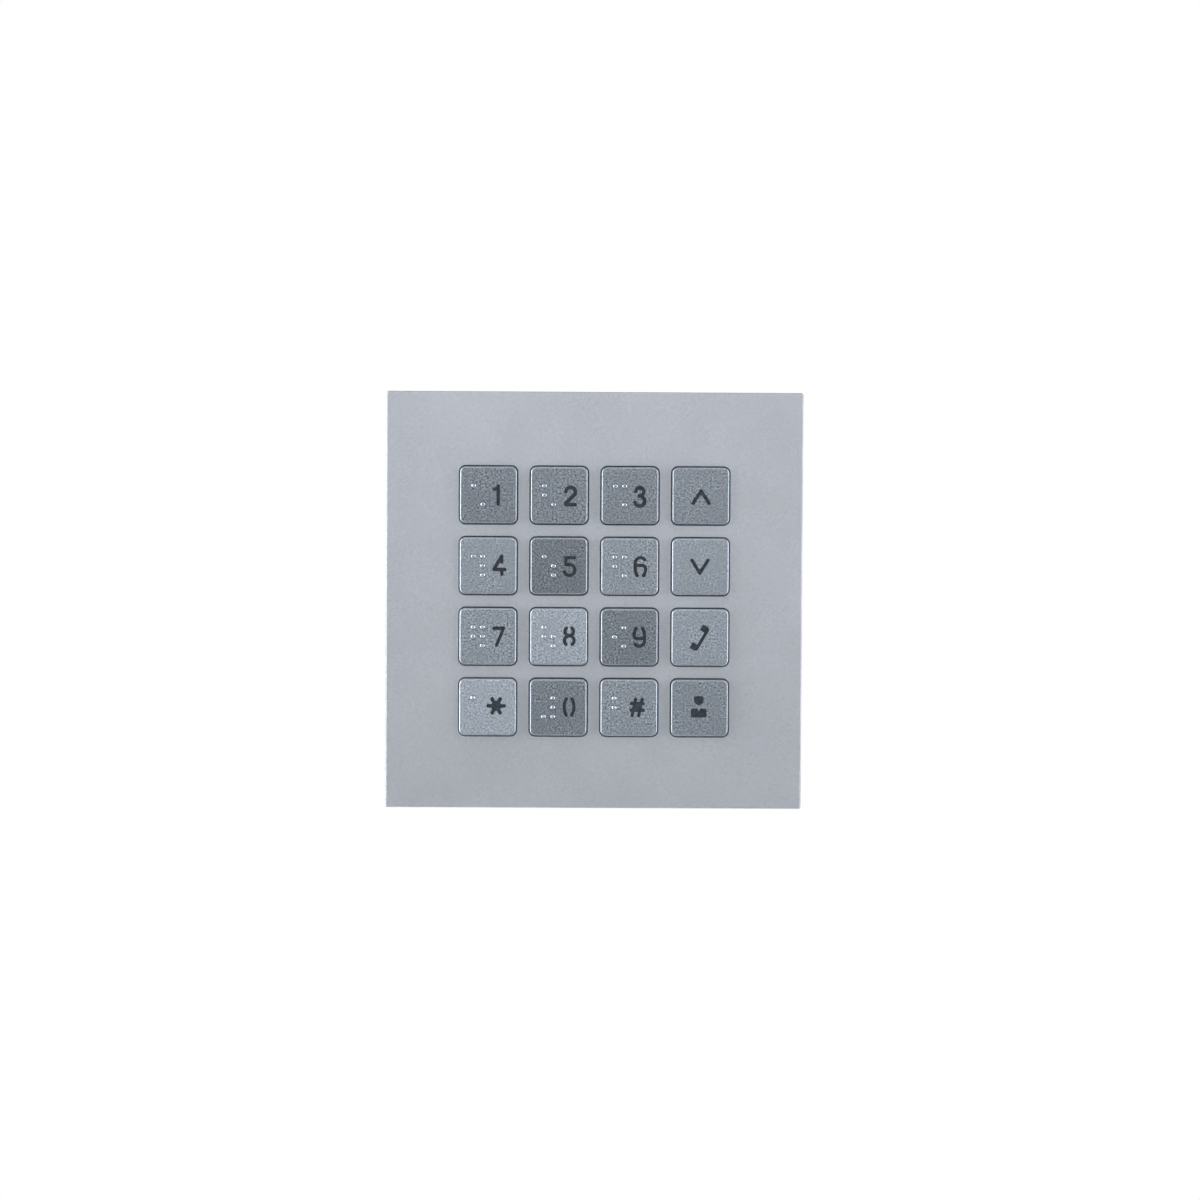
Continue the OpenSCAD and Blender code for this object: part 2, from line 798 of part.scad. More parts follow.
module jack_contacts() {
    color(gold) stand_up() for (turn = [0, 180]) rotate(turn) jack_pins();
}

// ---- Rear housing ----

// A groove round the label and, by each bus socket, an arrow that shows which way the bus runs:
// in at the top and out at the bottom
module housing_marks() {
    translate([0, 0, housing_foot - 1]) linear_extrude(1 + mark_depth) {
        difference() {
            square([label_w, label_h] + 2 * (mark_gap + mark_w) * [1, 1], center = true);
            square([label_w, label_h] + 2 * mark_gap * [1, 1], center = true);
        }
        for (s = [-1, 1]) translate([0, s * arrow_line])
            polygon([[-arrow_w / 2, arrow_w / 3], [arrow_w / 2, arrow_w / 3], [0, -arrow_w / 2]]);
    }
}

module rear_housing() {
    color(black) stand_up() difference() {
        union() {
            difference() {
                mirror([0, 0, 1])
                    soft_block(housing_w, housing_r, -rim_top, -housing_foot, housing_edge);
                rounded_slab(housing_in, housing_r - housing_wall, floor_top, rim_top + 1);
            }
            at_spots(corner_spots) translate([0, 0, housing_foot + floor_t / 2])
                cylinder(r = column_r, h = housing_boss_foot - housing_foot - floor_t / 2);
        }
        at_spots(corner_spots) translate([0, 0, housing_foot - 1]) {
            cylinder(r = housing_screw_r + screw_room, h = housing_boss_foot - housing_foot + 2);
            cylinder(r = housing_head_r + head_room, h = head_pocket + 1);
        }
        housing_marks();
        for (turn = [0, 180]) rotate(turn)
            translate([-jack_w / 2 - window_room, housing_in / 2 - 1,
                       board_foot - jack_h - window_room])
                cube([jack_w + 2 * window_room, housing_wall + 2, jack_h + 2 * window_room]);
    }
}

module housing_seal() {
    color([0.2, 0.2, 0.2]) stand_up()
        square_ring(housing_w, housing_r, housing_wall, rim_top, plate_back);
}

module housing_screws() {
    color(steel) stand_up() at_spots(corner_spots) translate([0, 0, housing_foot + head_pocket])
        pan_screw(housing_screw_r, housing_screw_l, housing_head_r, housing_head_h);
}

module wall_gasket() {
    color([0.15, 0.15, 0.15]) stand_up()
        square_ring(plate_w - 2 * gasket_inset - 2 * fit, 1, gasket_w - 2 * fit,
                    plate_back + gasket_groove - gasket_t, plate_back + gasket_groove);
}

module blank_label() {
    color(white) stand_up() translate([-label_w / 2, -label_h / 2, housing_foot - label_t])
        cube([label_w, label_h, label_t]);
}

front_plate();
for (i = [0 : len(KEYS) - 1]) {
    key_cap(i);
    light_guide(i);
}
key_guide();
silicone_keymat();
contact_pills();
contact_pads();
circuit_board();
backlight_leds();
board_screws();
controller_chip();
bus_transceiver();
chip_leads();
voltage_regulator();
power_inductor();
smoothing_capacitors();
crystal();
buzzer();
surge_diodes();
chip_resistors();
bus_in_jack();
bus_out_jack();
jack_contacts();
rear_housing();
housing_seal();
housing_screws();
wall_gasket();
blank_label();
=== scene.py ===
"""Looks of a keypad module for a door entry panel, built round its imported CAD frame.

The CAD holds every size and place. This script gives the front plate, the keys, the rear case and
what lies between them their finishes and softened edges, and sets the stage and the camera.
"""

import math

import bmesh
import bpy
from bpy.props import FloatProperty, FloatVectorProperty, PointerProperty
from mathutils import Euler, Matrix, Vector
from mathutils.bvhtree import BVHTree


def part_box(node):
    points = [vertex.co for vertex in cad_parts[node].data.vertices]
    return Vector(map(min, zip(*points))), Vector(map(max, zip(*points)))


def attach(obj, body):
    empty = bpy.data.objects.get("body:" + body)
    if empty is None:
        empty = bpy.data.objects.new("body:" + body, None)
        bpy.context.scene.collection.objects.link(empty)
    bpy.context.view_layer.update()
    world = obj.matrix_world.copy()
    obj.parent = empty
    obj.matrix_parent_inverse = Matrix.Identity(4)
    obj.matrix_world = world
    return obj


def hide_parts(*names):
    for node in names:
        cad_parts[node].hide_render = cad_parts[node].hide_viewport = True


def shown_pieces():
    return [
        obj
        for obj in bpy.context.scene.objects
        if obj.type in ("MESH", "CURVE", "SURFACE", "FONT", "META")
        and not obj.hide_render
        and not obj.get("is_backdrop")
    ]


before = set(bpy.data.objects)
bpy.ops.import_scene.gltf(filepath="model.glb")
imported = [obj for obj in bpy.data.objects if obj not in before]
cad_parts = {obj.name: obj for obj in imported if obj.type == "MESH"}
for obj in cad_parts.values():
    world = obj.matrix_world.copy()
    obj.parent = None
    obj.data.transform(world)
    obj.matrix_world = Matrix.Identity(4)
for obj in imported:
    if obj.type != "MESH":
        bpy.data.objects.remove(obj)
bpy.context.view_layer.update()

bl_info = {
    "name": "Keypad Module",
    "version": (1, 0, 0),
    "blender": (4, 5, 0),
    "location": "View3D > Sidebar > Keypad",
    "description": "Finishes, softened edges, stage and camera for a door entry keypad module",
    "category": "Object",
}

MODULE = "module"
KEYS = ("1", "2", "3", "up", "4", "5", "6", "down", "7", "8", "9", "call",
        "star", "0", "hash", "concierge")
MM = 0.001

# Where things show in the photograph, in its own frame
FRAME_SIZE = 1200
IMAGE_POINTS = {
    "plate_left": (385.2, None),
    "plate_right": (803.5, None),
    "plate_top": (None, 390.8),
    "plate_bottom": (None, 808.9),
    "cap_1": (488.6, 494.9),
    "cap_up": (700.6, 496.0),
    "cap_6": (629.6, 566.4),
    "cap_8": (558.6, 636.5),
    "cap_star": (487.7, 706.6),
    "cap_concierge": (699.2, 707.6),
    "light_guide_2": (570.6, 495.6),
    "light_guide_up": (702.2, 497.2),
    "light_guide_5": (569.5, 567.2),
    "light_guide_down": (701.2, 566.8),
    "light_guide_hash": (637.2, 708.1),
    "light_guide_concierge": (699.0, 707.0),
}

# The camera that those points settle: metres, degrees and millimetres
CAMERA_PLACE = (-0.00507, -0.77655, 0.0217)
CAMERA_TILT = 88.381
CAMERA_ROLL = -0.31
CAMERA_TURN = -0.491
CAMERA_LENS = 85
CAMERA_SENSOR = 36

# Painted light and shade: each key's metal is painted lighter or darker than the average key,
# standing for how its slight tilt catches the light
KEY_TILT_LIGHT_TONES = {"1": 0.74, "2": 0.78, "3": 0.79, "up": 0.85, "4": 1.07, "5": 0.67, "6": 1.04,
             "down": 1.1, "7": 1.1, "8": 1.4, "9": 0.78, "call": 1.18, "star": 1.51, "0": 0.86,
             "hash": 1.12, "concierge": 1.0}

# How strong the blasted grain shows on most keys, and on those that differ
USUAL_GRAIN = 0.62
KEY_GRAINS = {"up": 0.55, "down": 0.38, "call": 0.44, "star": 0.42, "4": 0.46, "6": 0.58, "8": 0.52}

# Rubbed edges and worn dots keep little of the painted tilt light: their metal is never darker than
# the average key, nor much lighter, so on keys painted darker it is lighter than the face, partly
# real wear and partly a painted highlight
RUBBED_AND_HIGHLIGHT_TONES = (1, 1.15)

# A key's rounded front edge lies past this share of the way to the flange's side
EDGE_START = 0.76

# How far a key's flat face may be out of flat, in metres
FLAT_ROOM = 0.01 * MM

# Softboxes: azimuth and elevation in degrees, width and height in metres, and power in watts
SOFTBOXES = {
    "left_softbox": (-76, 4, (0.4, 1.3), 17.8),
    "right_softbox": (70, 4, (0.4, 1.3), 11.8),
    "top_softbox": (0, 70, (1.3, 0.3), 4.5),
    "front_fill": (0, 20, (1.4, 0.4), 5.6),
    "rear_left_softbox": (-145, 25, (0.7, 0.7), 6.5),
    "rear_right_softbox": (145, 25, (0.7, 0.7), 4.5),
}

# Strength of the white surroundings as light, and of the floor's own paleness in view
FILL_STRENGTH = 0.06
FLOOR_GLOW = 0.66

# The floor: half its side, and its middle, in metres
FLOOR_REACH = 1.5
FLOOR_MIDDLE = (0, -1, -0.5)

# The arrows on the back: how deep they are cut, and where they lie, in metres
ARROW_DEPTHS = (0.2 * MM, 0.5 * MM)
ARROW_HALF_WIDTH = 3 * MM
ARROW_CLEAR_OF_MIDDLE = 30 * MM

# The label's ruled lines: their margin, pitch and width, in metres
LABEL_LINES = (3 * MM, 5.4 * MM, 0.22 * MM)


# ---- Settings ----

class KeypadSettings(bpy.types.PropertyGroup):
    plate_colour: FloatVectorProperty(
        name="Plate colour", description="Silver of the bead-blasted front plate",
        subtype="COLOR", size=3, min=0, max=1, default=(0.392, 0.414, 0.452))
    key_colour: FloatVectorProperty(
        name="Key colour", description="Average grey of the blasted metal keys",
        subtype="COLOR", size=3, min=0, max=1, default=(0.256, 0.289, 0.329))
    legend_colour: FloatVectorProperty(
        name="Legend colour", description="Smoked resin that fills the legends",
        subtype="COLOR", size=3, min=0, max=1, default=(0.022, 0.028, 0.036))
    case_colour: FloatVectorProperty(
        name="Case colour", description="Moulded plastic of the rear case",
        subtype="COLOR", size=3, min=0, max=1, default=(0.03, 0.03, 0.033))
    label_colour: FloatVectorProperty(
        name="Label colour", description="White film of the label on the rear case",
        subtype="COLOR", size=3, min=0, max=1, default=(0.74, 0.74, 0.72))
    legend_lip: FloatProperty(
        name="Legend lip", description="Width of the rounded lip round each legend",
        unit="LENGTH", min=0.00002, max=0.0003, default=0.00014, precision=5)
    edge_softness: FloatProperty(
        name="Edge softness", description="Width of the softened edges on moulded parts",
        unit="LENGTH", min=0.00005, max=0.001, default=0.0003, precision=5)


# ---- Materials ----

def shader_of(material):
    return material.node_tree.nodes["Principled BSDF"]


def plain_material(name, colour, roughness, metallic=0.0, **constants):
    material = bpy.data.materials.new(name)
    material.use_nodes = True
    shader = shader_of(material)
    shader.inputs["Base Color"].default_value = (*colour, 1)
    shader.inputs["Roughness"].default_value = roughness
    shader.inputs["Metallic"].default_value = metallic
    for socket, value in constants.items():
        shader.inputs[socket.replace("_", " ")].default_value = value
    return material


def noise(material, size, detail=2.0):
    """A noise pattern whose blotches are about size metres across, in the object's own space."""
    nodes, links = material.node_tree.nodes, material.node_tree.links
    place = nodes.new("ShaderNodeTexCoord")
    pattern = nodes.new("ShaderNodeTexNoise")
    pattern.inputs["Scale"].default_value = 1 / size
    pattern.inputs["Detail"].default_value = detail
    links.new(place.outputs["Object"], pattern.inputs["Vector"])
    return pattern.outputs["Fac"]


def ramp(material, value, colours, low=0.3, high=0.7):
    """From the first colour to the second as value goes from low to high."""
    nodes, links = material.node_tree.nodes, material.node_tree.links
    band = nodes.new("ShaderNodeValToRGB")
    stops = band.color_ramp.elements
    stops[0].position, stops[1].position = low, high
    stops[0].color, stops[1].color = (*colours[0], 1), (*colours[1], 1)
    links.new(value, band.inputs["Fac"])
    return band.outputs["Color"]


def multiply(material, first, second):
    nodes, links = material.node_tree.nodes, material.node_tree.links
    product = nodes.new("ShaderNodeMix")
    product.data_type, product.blend_type = "RGBA", "MULTIPLY"
    product.inputs["Factor"].default_value = 1
    links.new(first, product.inputs["A"])
    links.new(second, product.inputs["B"])
    return product.outputs["Result"]


def mix(material, amount, first, second):
    """The first colour where amount is 0, and the second where it is 1."""
    nodes, links = material.node_tree.nodes, material.node_tree.links
    blend = nodes.new("ShaderNodeMix")
    blend.data_type = "RGBA"
    links.new(amount, blend.inputs["Factor"])
    links.new(first, blend.inputs["A"])
    links.new(second, blend.inputs["B"])
    return blend.outputs["Result"]


def tint(material, colour, size, spread, detail=2.0):
    """The colour, lighter and darker by spread in blotches of that size."""
    low = [c * (1 - spread) for c in colour]
    high = [c * (1 + spread) for c in colour]
    return ramp(material, noise(material, size, detail), (low, high))


def paint(material, colour):
    material.node_tree.links.new(colour, shader_of(material).inputs["Base Color"])


def roughen(material, height, depth):
    """Raises the surface by the pattern, up to depth metres."""
    nodes, links = material.node_tree.nodes, material.node_tree.links
    bump = nodes.new("ShaderNodeBump")
    bump.inputs["Strength"].default_value = 1
    bump.inputs["Distance"].default_value = depth
    links.new(height, bump.inputs["Height"])
    links.new(bump.outputs["Normal"], shader_of(material).inputs["Normal"])


def arithmetic(material, operation, first, second):
    """The outcome of a sum on two sockets or numbers."""
    nodes, links = material.node_tree.nodes, material.node_tree.links
    step = nodes.new("ShaderNodeMath")
    step.operation = operation
    for socket, value in zip(step.inputs, (first, second)):
        if isinstance(value, (int, float)):
            socket.default_value = value
        else:
            links.new(value, socket)
    return step.outputs["Value"]


def ruled_lines(material, low, high, margin, pitch, width):
    """One on the level lines that rule the area from low to high inside its margin, else zero."""
    nodes, links = material.node_tree.nodes, material.node_tree.links
    place = nodes.new("ShaderNodeTexCoord")
    split = nodes.new("ShaderNodeSeparateXYZ")
    links.new(place.outputs["Object"], split.inputs["Vector"])
    ruled = 1
    for axis, least, most in (("X", low.x, high.x), ("Z", low.z, high.z)):
        off = arithmetic(material, "SUBTRACT", split.outputs[axis], (least + most) / 2)
        far = arithmetic(material, "ABSOLUTE", off, 0)
        inside = arithmetic(material, "LESS_THAN", far, (most - least) / 2 - margin)
        ruled = arithmetic(material, "MULTIPLY", inside, ruled)
    height = arithmetic(material, "SUBTRACT", split.outputs["Z"], low.z + margin)
    part = arithmetic(material, "FRACT", arithmetic(material, "DIVIDE", height, pitch), 0)
    return arithmetic(material, "MULTIPLY", ruled,
                      arithmetic(material, "LESS_THAN", part, width / pitch))


def blasted_metal(name, colour, grain, spread, roughness, depth, cloud=0.02):
    """Bead-blasted metal: a grain that is sharp in some patches and worn in others, and clouds.

    The grain and the clouds are that many metres across. The grain is lighter and darker by about
    spread, and up to depth metres high.
    """
    material = plain_material(name, colour, roughness, metallic=1.0)
    sharp = tint(material, colour, grain, 1.25 * spread, detail=3.0)
    worn = tint(material, colour, grain, 0.6 * spread, detail=3.0)
    patches = ramp(material, noise(material, 8 * grain), ((0, 0, 0), (1, 1, 1)), 0.4, 0.6)
    clouds = tint(material, (1, 1, 1), cloud, 0.035)
    paint(material, multiply(material, mix(material, patches, worn, sharp), clouds))
    roughen(material, noise(material, 0.6 * grain, 3.0), depth)
    return material


def moulded_plastic(name, colour, roughness=0.5):
    """Plastic with the fine grain of its mould and a slightly uneven colour."""
    material = plain_material(name, colour, roughness)
    paint(material, tint(material, colour, 4.8 * MM, 0.07))
    roughen(material, noise(material, 0.4 * MM), 0.02 * MM)
    return material


def drawn_metal(name, colour, roughness):
    """Smooth metal of a screw, wire or plated pad, hardly marked."""
    material = plain_material(name, colour, roughness, metallic=1.0)
    paint(material, tint(material, colour, 1.2 * MM, 0.08))
    roughen(material, noise(material, 0.3 * MM), 0.004 * MM)
    return material


# ---- Pieces ----

def settings():
    return bpy.context.scene.keypad


def merged_copy(node):
    """A bmesh of a CAD node with its doubles merged and its flat areas made whole."""
    bm = bmesh.new()
    bm.from_mesh(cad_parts[node].data)
    bmesh.ops.remove_doubles(bm, verts=bm.verts, dist=0.001 * MM)
    bmesh.ops.dissolve_limit(bm, angle_limit=math.radians(0.4), verts=bm.verts, edges=bm.edges,
                             delimit=set())
    return bm


def smooth(bm, angle=30):
    """Shades curved areas smooth and keeps edges sharper than angle degrees."""
    for face in bm.faces:
        face.smooth = True
    for edge in bm.edges:
        edge.smooth = len(edge.link_faces) == 2 and edge.calc_face_angle(0) < math.radians(angle)


def as_piece(bm, name, materials, body, node):
    """A new piece from bm that rides on body and stands for the CAD node, in its finish."""
    mesh = bpy.data.meshes.new(name)
    bm.to_mesh(mesh)
    bm.free()
    for material in materials:
        mesh.materials.append(material)
    piece = bpy.data.objects.new(name, mesh)
    bpy.context.scene.collection.objects.link(piece)
    flat = piece.modifiers.new("flat_faces", "WEIGHTED_NORMAL")
    flat.keep_sharp = True
    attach(piece, body)
    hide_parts(node)
    return piece


def finish_node(node, material):
    """Gives a CAD node, whose shape stays, its material."""
    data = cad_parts[node].data
    data.materials.clear()
    data.materials.append(material)


def soften(node, name, material, body, width, segments=2, angle=30):
    """Stands for a CAD node with the same shape, its sharp edges rounded to width."""
    bm = merged_copy(node)
    sharp = [e for e in bm.edges
             if len(e.link_faces) == 2 and e.calc_face_angle(0) > math.radians(angle)]
    bmesh.ops.bevel(bm, geom=sharp, offset=width, offset_type="OFFSET", affect="EDGES",
                    segments=segments, profile=0.5, material=-1, clamp_overlap=True)
    smooth(bm, angle)
    return as_piece(bm, name, [material], body, node)


# ---- Operators ----

class KEYPAD_OT_stage(bpy.types.Operator):
    """Adds the pale floor and soft studio light"""
    bl_idname = "keypad.stage"
    bl_label = "Stage"

    def execute(self, context):
        self.add_floor()
        self.add_world(context.scene)
        context.scene.view_settings.view_transform = "Standard"
        for name, values in SOFTBOXES.items():
            self.add_light(name, *values)
        return {"FINISHED"}

    def add_world(self, scene):
        """White behind the module, and a dimmer white as light on it."""
        world = bpy.data.worlds.new("studio")
        world.use_nodes = True
        nodes, links = world.node_tree.nodes, world.node_tree.links
        backdrop = nodes["Background"]
        backdrop.inputs["Color"].default_value = (1, 1, 1, 1)
        fill = nodes.new("ShaderNodeBackground")
        fill.inputs["Strength"].default_value = FILL_STRENGTH
        ray = nodes.new("ShaderNodeLightPath")
        either = nodes.new("ShaderNodeMixShader")
        links.new(ray.outputs["Is Camera Ray"], either.inputs["Fac"])
        links.new(fill.outputs["Background"], either.inputs[1])
        links.new(backdrop.outputs["Background"], either.inputs[2])
        links.new(either.outputs["Shader"], nodes["World Output"].inputs["Surface"])
        scene.world = world

    def add_floor(self):
        """A pale floor below the module, which ends short of what the main camera sees."""
        bm = bmesh.new()
        bmesh.ops.create_grid(bm, x_segments=1, y_segments=1, size=FLOOR_REACH)
        bmesh.ops.translate(bm, verts=bm.verts, vec=FLOOR_MIDDLE)
        mesh = bpy.data.meshes.new("floor")
        bm.to_mesh(mesh)
        bm.free()
        floor = bpy.data.objects.new("floor", mesh)
        bpy.context.scene.collection.objects.link(floor)
        mesh.materials.append(self.floor_paint())
        floor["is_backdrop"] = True

    def floor_paint(self):
        """Pale paint that stays pale where the softboxes don't reach."""
        material = plain_material("pale_floor", (0.9, 0.9, 0.9), 0.8)
        paint(material, tint(material, (0.8, 0.8, 0.8), 0.05, 0.015))
        nodes, links = material.node_tree.nodes, material.node_tree.links
        ray = nodes.new("ShaderNodeLightPath")
        glow = nodes.new("ShaderNodeMath")
        glow.operation = "MULTIPLY"
        glow.inputs[1].default_value = FLOOR_GLOW
        links.new(ray.outputs["Is Camera Ray"], glow.inputs[0])
        links.new(glow.outputs["Value"], shader_of(material).inputs["Emission Strength"])
        shader_of(material).inputs["Emission Color"].default_value = (1, 1, 1, 1)
        return material

    def add_light(self, name, azimuth, elevation, size, power):
        """A rectangular softbox a metre from the module, at these angles in degrees."""
        a, e = math.radians(azimuth), math.radians(elevation)
        away = Vector((math.sin(a) * math.cos(e), -math.cos(a) * math.cos(e), math.sin(e)))
        data = bpy.data.lights.new(name, "AREA")
        data.shape = "RECTANGLE"
        data.size, data.size_y = size
        data.energy = power
        light = bpy.data.objects.new(name, data)
        light.location = away
        light.rotation_euler = away.to_track_quat("Z", "Y").to_euler()
        bpy.context.scene.collection.objects.link(light)


class KEYPAD_OT_camera(bpy.types.Operator):
    """Adds the camera that sees the module as the photograph does"""
    bl_idname = "keypad.camera"
    bl_label = "Camera"

    def execute(self, context):
        data = bpy.data.cameras.new("photo_camera")
        data.sensor_fit = "AUTO"
        data.sensor_width = CAMERA_SENSOR
        data.lens = CAMERA_LENS
        data.clip_start, data.clip_end = 0.01, 20
        camera = bpy.data.objects.new("photo_camera", data)
        camera.location = CAMERA_PLACE
        turns = (CAMERA_TILT, CAMERA_ROLL, CAMERA_TURN)
        camera.rotation_euler = Euler([math.radians(a) for a in turns], "XYZ")
        context.scene.collection.objects.link(camera)
        context.scene.camera = camera
        return {"FINISHED"}


class KEYPAD_OT_plate(bpy.types.Operator):
    """Finishes the bead-blasted front plate"""
    bl_idname = "keypad.plate"
    bl_label = "Front plate"

    def execute(self, context):
        metal = blasted_metal("blasted_plate", settings().plate_colour, 0.6 * MM, 0.06, 0.58,
                              0.01 * MM)
        finish_node("front_plate", metal)
        return {"FINISHED"}


class KEYPAD_OT_keys(bpy.types.Operator):
    """Makes the sixteen metal keys with a rounded lip round each legend"""
    bl_idname = "keypad.keys"
    bl_label = "Keys"

    def execute(self, context):
        resin = plain_material("smoked_resin", settings().legend_colour, 0.45,
                               Specular_IOR_Level=0.25)
        paint(resin, tint(resin, settings().legend_colour, 0.8 * MM, 0.5))
        roughen(resin, noise(resin, 0.3 * MM), 0.02 * MM)
        for key in KEYS:
            self.make_key(key)
            finish_node("light_guide_" + key, resin)
        return {"FINISHED"}

    def key_metals(self, key):
        """The metal of a key's face, painted lighter or darker for its tilt, of its braille dots
        and of its rubbed edge, the last two partly real wear and partly a painted highlight.
        """
        least, most = RUBBED_AND_HIGHLIGHT_TONES
        rubbed_and_highlight_tone = min(max(KEY_TILT_LIGHT_TONES[key], least), most)
        # Painted light and shade: the face is painted lighter or darker for how the key's tilt
        # catches the light, over its real grain
        colour = [c * KEY_TILT_LIGHT_TONES[key] for c in settings().key_colour]
        # Painted highlight and real wear: dots and rubbed edge leave out most of the painted tilt
        # shade, so on darker keys they are lighter than the face
        wear_and_highlight_colour = [c * rubbed_and_highlight_tone for c in settings().key_colour]
        size, spread = 0.5 * MM, KEY_GRAINS.get(key, USUAL_GRAIN)
        return [
            blasted_metal("blasted_tilt_shaded_key_" + key, colour, size, spread, 0.45, 0.03 * MM, 4 * MM),
            blasted_metal("worn_and_highlighted_dots_" + key, wear_and_highlight_colour, size, 0.1, 0.24, 0.002 * MM),
            blasted_metal("rubbed_and_highlighted_edge_" + key, wear_and_highlight_colour, size, 0.25, 0.42, 0.01 * MM),
        ]

    def make_key(self, key):
        """A key's cap, with a rounded lip round its legend, and its dots and edge rubbed down to
        the metal, which is partly real wear and partly a painted highlight.
        """
        node = "key_" + key
        bm = merged_copy(node)
        front = self.front_of(bm)
        rim = [e for e in bm.edges if self.is_legend_rim(e, front)]
        if not rim:
            raise RuntimeError(f"no legend edge was found on {node}")
        bmesh.ops.bevel(bm, geom=rim, offset=settings().legend_lip, offset_type="OFFSET",
                        affect="EDGES", segments=2, profile=0.5, material=-1, clamp_overlap=True)
        smooth(bm, 35)
        low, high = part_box(node)
        middle, reach = (low + high) / 2, (high.x - low.x) / 2
        for face in bm.faces:
            place = face.calc_center_median()
            # Braille dots: worn metal, partly real wear and partly a painted highlight
            if place.y < front - FLAT_ROOM:
                face.material_index = 1
            # Rounded front edge: rubbed metal, partly real wear and partly a painted highlight
            elif self.is_outer_edge(face, place - middle, reach):
                face.material_index = 2
        as_piece(bm, "cap_" + key, self.key_metals(key), node + "_body", node)

    def is_outer_edge(self, face, off, reach):
        """Whether a face that far off the key's middle is on its front edge, which fingers rub and
        whose lighter metal is partly a painted highlight.
        """
        slants = -0.99 < face.normal.y < -0.05
        return slants and max(abs(off.x), abs(off.z)) > EDGE_START * reach

    def front_of(self, bm):
        """The y of the key's flat face, its largest face that looks forward."""
        forward = [f for f in bm.faces if f.normal.y < -0.999]
        return max(forward, key=lambda f: f.calc_area()).calc_center_median().y

    def is_legend_rim(self, edge, front):
        """Whether edge lies on the flat face where it drops into the legend."""
        flat = all(abs(v.co.y - front) < FLAT_ROOM for v in edge.verts)
        if not flat or len(edge.link_faces) != 2:
            return False
        square = abs(edge.calc_face_angle(0) - math.pi / 2) < 0.05
        return square and edge.is_convex


class KEYPAD_OT_rear(bpy.types.Operator):
    """Makes the rear case, its seals, screws and label"""
    bl_idname = "keypad.rear"
    bl_label = "Rear case"

    def execute(self, context):
        soft = settings().edge_softness
        case = moulded_plastic("case_plastic", settings().case_colour, 0.55)
        self.fill_arrows(soften("rear_housing", "case", case, MODULE, soft))
        rubber = moulded_plastic("seal_rubber", (0.012, 0.012, 0.012), 0.7)
        finish_node("housing_seal", rubber)
        soften("wall_gasket", "gasket", self.gasket_foam(), MODULE, 0.3 * MM, 3)
        zinc = drawn_metal("zinc_steel", (0.62, 0.63, 0.65), 0.32)
        soften("housing_screws", "case_screws", zinc, MODULE, 0.25 * MM)
        finish_node("board_screws", zinc)
        finish_node("blank_label", self.label_film())
        return {"FINISHED"}

    def fill_arrows(self, case):
        """Pale paint in the two arrows cut into the back, which show which way the bus runs."""
        paint_fill = moulded_plastic("arrow_paint", (0.42, 0.42, 0.41), 0.6)
        case.data.materials.append(paint_fill)
        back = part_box("rear_housing")[1].y
        least, most = ARROW_DEPTHS
        for face in case.data.polygons:
            x, y, z = face.center
            is_floor = face.normal.y > 0.99 and least < back - y < most
            if is_floor and abs(x) < ARROW_HALF_WIDTH and abs(z) > ARROW_CLEAR_OF_MIDDLE:
                face.material_index = 1

    def gasket_foam(self):
        """Open foam, pitted and uneven."""
        colour = (0.03, 0.03, 0.032)
        foam = plain_material("gasket_foam", colour, 0.95)
        paint(foam, tint(foam, colour, 0.6 * MM, 0.6, detail=4.0))
        roughen(foam, noise(foam, 0.5 * MM, 4.0), 0.25 * MM)
        return foam

    def label_film(self):
        """Satin white film, ruled for the fitter's own notes."""
        film = plain_material("label_film", settings().label_colour, 0.42)
        lines = ruled_lines(film, *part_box("blank_label"), *LABEL_LINES)
        white = tint(film, settings().label_colour, 3 * MM, 0.03)
        ink = tint(film, (0.2, 0.21, 0.23), 0.4 * MM, 0.1)
        paint(film, mix(film, lines, white, ink))
        roughen(film, noise(film, 2 * MM), 0.01 * MM)
        return film


class KEYPAD_OT_sockets(bpy.types.Operator):
    """Finishes the two bus sockets and their sprung contacts"""
    bl_idname = "keypad.sockets"
    bl_label = "Bus sockets"

    def execute(self, context):
        body = moulded_plastic("socket_plastic", (0.018, 0.018, 0.02), 0.35)
        for name in ("bus_in_jack", "bus_out_jack"):
            soften(name, name + "_body", body, MODULE, 0.2 * MM)
        finish_node("jack_contacts", drawn_metal("gold_contact", (0.9, 0.66, 0.3), 0.22))
        return {"FINISHED"}


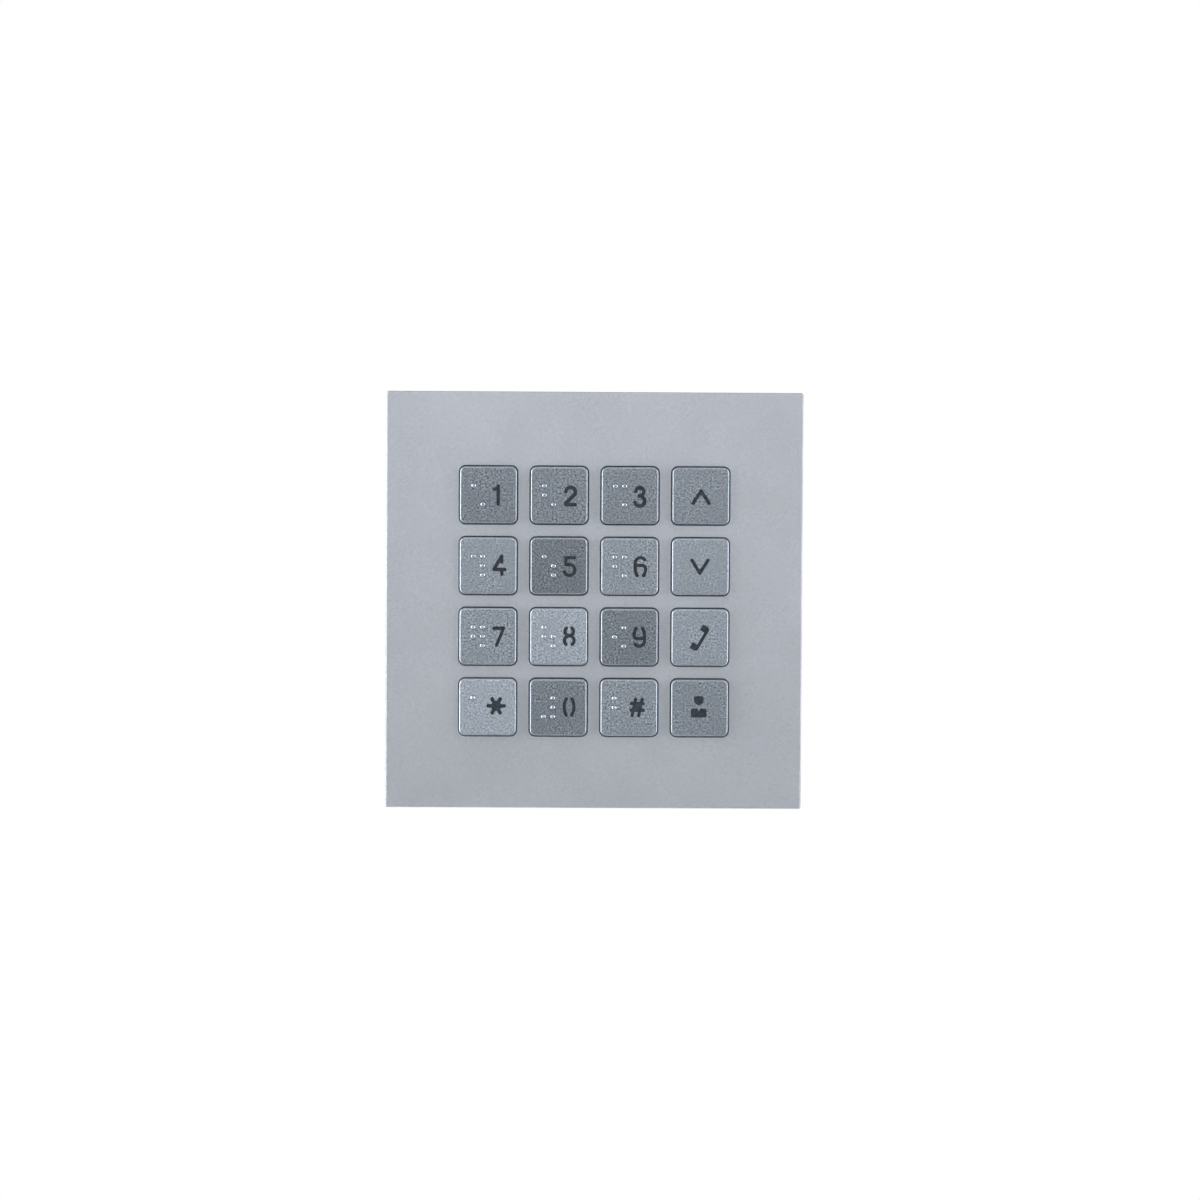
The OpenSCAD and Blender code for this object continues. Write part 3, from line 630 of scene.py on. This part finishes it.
class KEYPAD_OT_inside(bpy.types.Operator):
    """Finishes the guide, the silicone mat, the circuit board and what it carries"""
    bl_idname = "keypad.inside"
    bl_label = "Inner layers"

    def execute(self, context):
        black = moulded_plastic("guide_plastic", (0.025, 0.025, 0.027), 0.5)
        finish_node("key_guide", black)
        finish_node("silicone_keymat", self.milky_silicone())
        carbon = moulded_plastic("carbon_pill", (0.01, 0.01, 0.01), 0.8)
        finish_node("contact_pills", carbon)
        finish_node("contact_pads", drawn_metal("gold_pad", (0.85, 0.62, 0.28), 0.3))
        finish_node("circuit_board", self.solder_mask())
        finish_node("backlight_leds", moulded_plastic("led_white", (0.8, 0.79, 0.7), 0.3))
        chip = moulded_plastic("chip_plastic", (0.015, 0.015, 0.016), 0.5)
        for node in ("controller_chip", "bus_transceiver", "voltage_regulator", "buzzer",
                     "surge_diodes"):
            finish_node(node, chip)
        tin = drawn_metal("tinned_legs", (0.75, 0.75, 0.76), 0.25)
        for node in ("chip_leads", "smoothing_capacitors", "crystal"):
            finish_node(node, tin)
        finish_node("power_inductor", moulded_plastic("ferrite", (0.04, 0.04, 0.045), 0.6))
        finish_node("chip_resistors", moulded_plastic("resistor", (0.05, 0.045, 0.04), 0.4))
        return {"FINISHED"}

    def milky_silicone(self):
        """Clear silicone that light passes a little way into."""
        colour = (0.75, 0.75, 0.72)
        silicone = plain_material("milky_silicone", colour, 0.4, Subsurface_Weight=0.4,
                                  Subsurface_Scale=2 * MM)
        paint(silicone, tint(silicone, colour, 3 * MM, 0.04))
        roughen(silicone, noise(silicone, 1 * MM), 0.02 * MM)
        return silicone

    def solder_mask(self):
        """The board's green lacquer, a little thicker and darker in places."""
        colour = (0.01, 0.12, 0.045)
        mask = plain_material("solder_mask", colour, 0.3, Coat_Weight=0.5)
        paint(mask, tint(mask, colour, 4 * MM, 0.25))
        return mask


class KEYPAD_OT_points(bpy.types.Operator):
    """Works out where each thing shows in the photograph's frame"""
    bl_idname = "keypad.points"
    bl_label = "Check image points"

    def execute(self, context):
        context.view_layer.update()
        self.camera = context.scene.camera
        self.cover = self.surface()
        plate = self.shown(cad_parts["front_plate"])
        found = {"plate_left": (plate[0], None), "plate_right": (plate[1], None),
                 "plate_top": (None, plate[2]), "plate_bottom": (None, plate[3])}
        for name in IMAGE_POINTS:
            if name not in found:
                left, right, top, bottom = self.shown(bpy.data.objects.get(name) or
                                                      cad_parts[name])
                found[name] = ((left + right) / 2, (top + bottom) / 2)
        return {"FINISHED"}

    def surface(self):
        """One tree of everything that can hide something else from the camera."""
        verts, faces = [], []
        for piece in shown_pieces():
            if piece.type == "MESH" and not piece.hide_render:
                first = len(verts)
                verts += [v.co.copy() for v in piece.data.vertices]
                faces += [[first + i for i in f.vertices] for f in piece.data.polygons]
        return BVHTree.FromPolygons(verts, faces)

    def shown(self, piece):
        """Left, right, top and bottom of the piece's vertices that show, in the photograph."""
        eye = self.camera.matrix_world.translation
        places = []
        for vert in piece.data.vertices:
            way = vert.co - eye
            hit = self.cover.ray_cast(eye, way.normalized(), way.length - 0.02 * MM)
            if hit[0] is None:
                places.append(self.to_image(vert.co))
        if not places:
            raise RuntimeError(f"nothing of {piece.name} shows")
        xs, ys = [p[0] for p in places], [p[1] for p in places]
        return min(xs), max(xs), min(ys), max(ys)

    def to_image(self, place):
        """A place in the photograph's frame, as x and y from its top left."""
        data = self.camera.data
        seen = self.camera.matrix_world.inverted() @ place
        reach = FRAME_SIZE * data.lens / data.sensor_width / -seen.z
        return (FRAME_SIZE / 2 + reach * seen.x - data.shift_x * FRAME_SIZE,
                FRAME_SIZE / 2 - reach * seen.y + data.shift_y * FRAME_SIZE)


class KEYPAD_PT_panel(bpy.types.Panel):
    """Sidebar panel with the module's settings and its pieces"""
    bl_idname = "KEYPAD_PT_panel"
    bl_label = "Keypad module"
    bl_space_type = "VIEW_3D"
    bl_region_type = "UI"
    bl_category = "Keypad"

    def draw(self, context):
        for name in KeypadSettings.__annotations__:
            self.layout.prop(context.scene.keypad, name)
        for operator in OPERATORS:
            self.layout.operator(operator.bl_idname)


OPERATORS = (KEYPAD_OT_camera, KEYPAD_OT_stage, KEYPAD_OT_plate, KEYPAD_OT_keys, KEYPAD_OT_rear,
             KEYPAD_OT_sockets, KEYPAD_OT_inside, KEYPAD_OT_points)
CLASSES = (KeypadSettings, *OPERATORS, KEYPAD_PT_panel)


def register():
    for cls in CLASSES:
        bpy.utils.register_class(cls)
    bpy.types.Scene.keypad = PointerProperty(type=KeypadSettings)


def unregister():
    del bpy.types.Scene.keypad
    for cls in reversed(CLASSES):
        bpy.utils.unregister_class(cls)


def main():
    register()
    for operator in OPERATORS:
        group, name = operator.bl_idname.split(".")
        getattr(getattr(bpy.ops, group), name)()


if __name__ == "__main__":
    main()
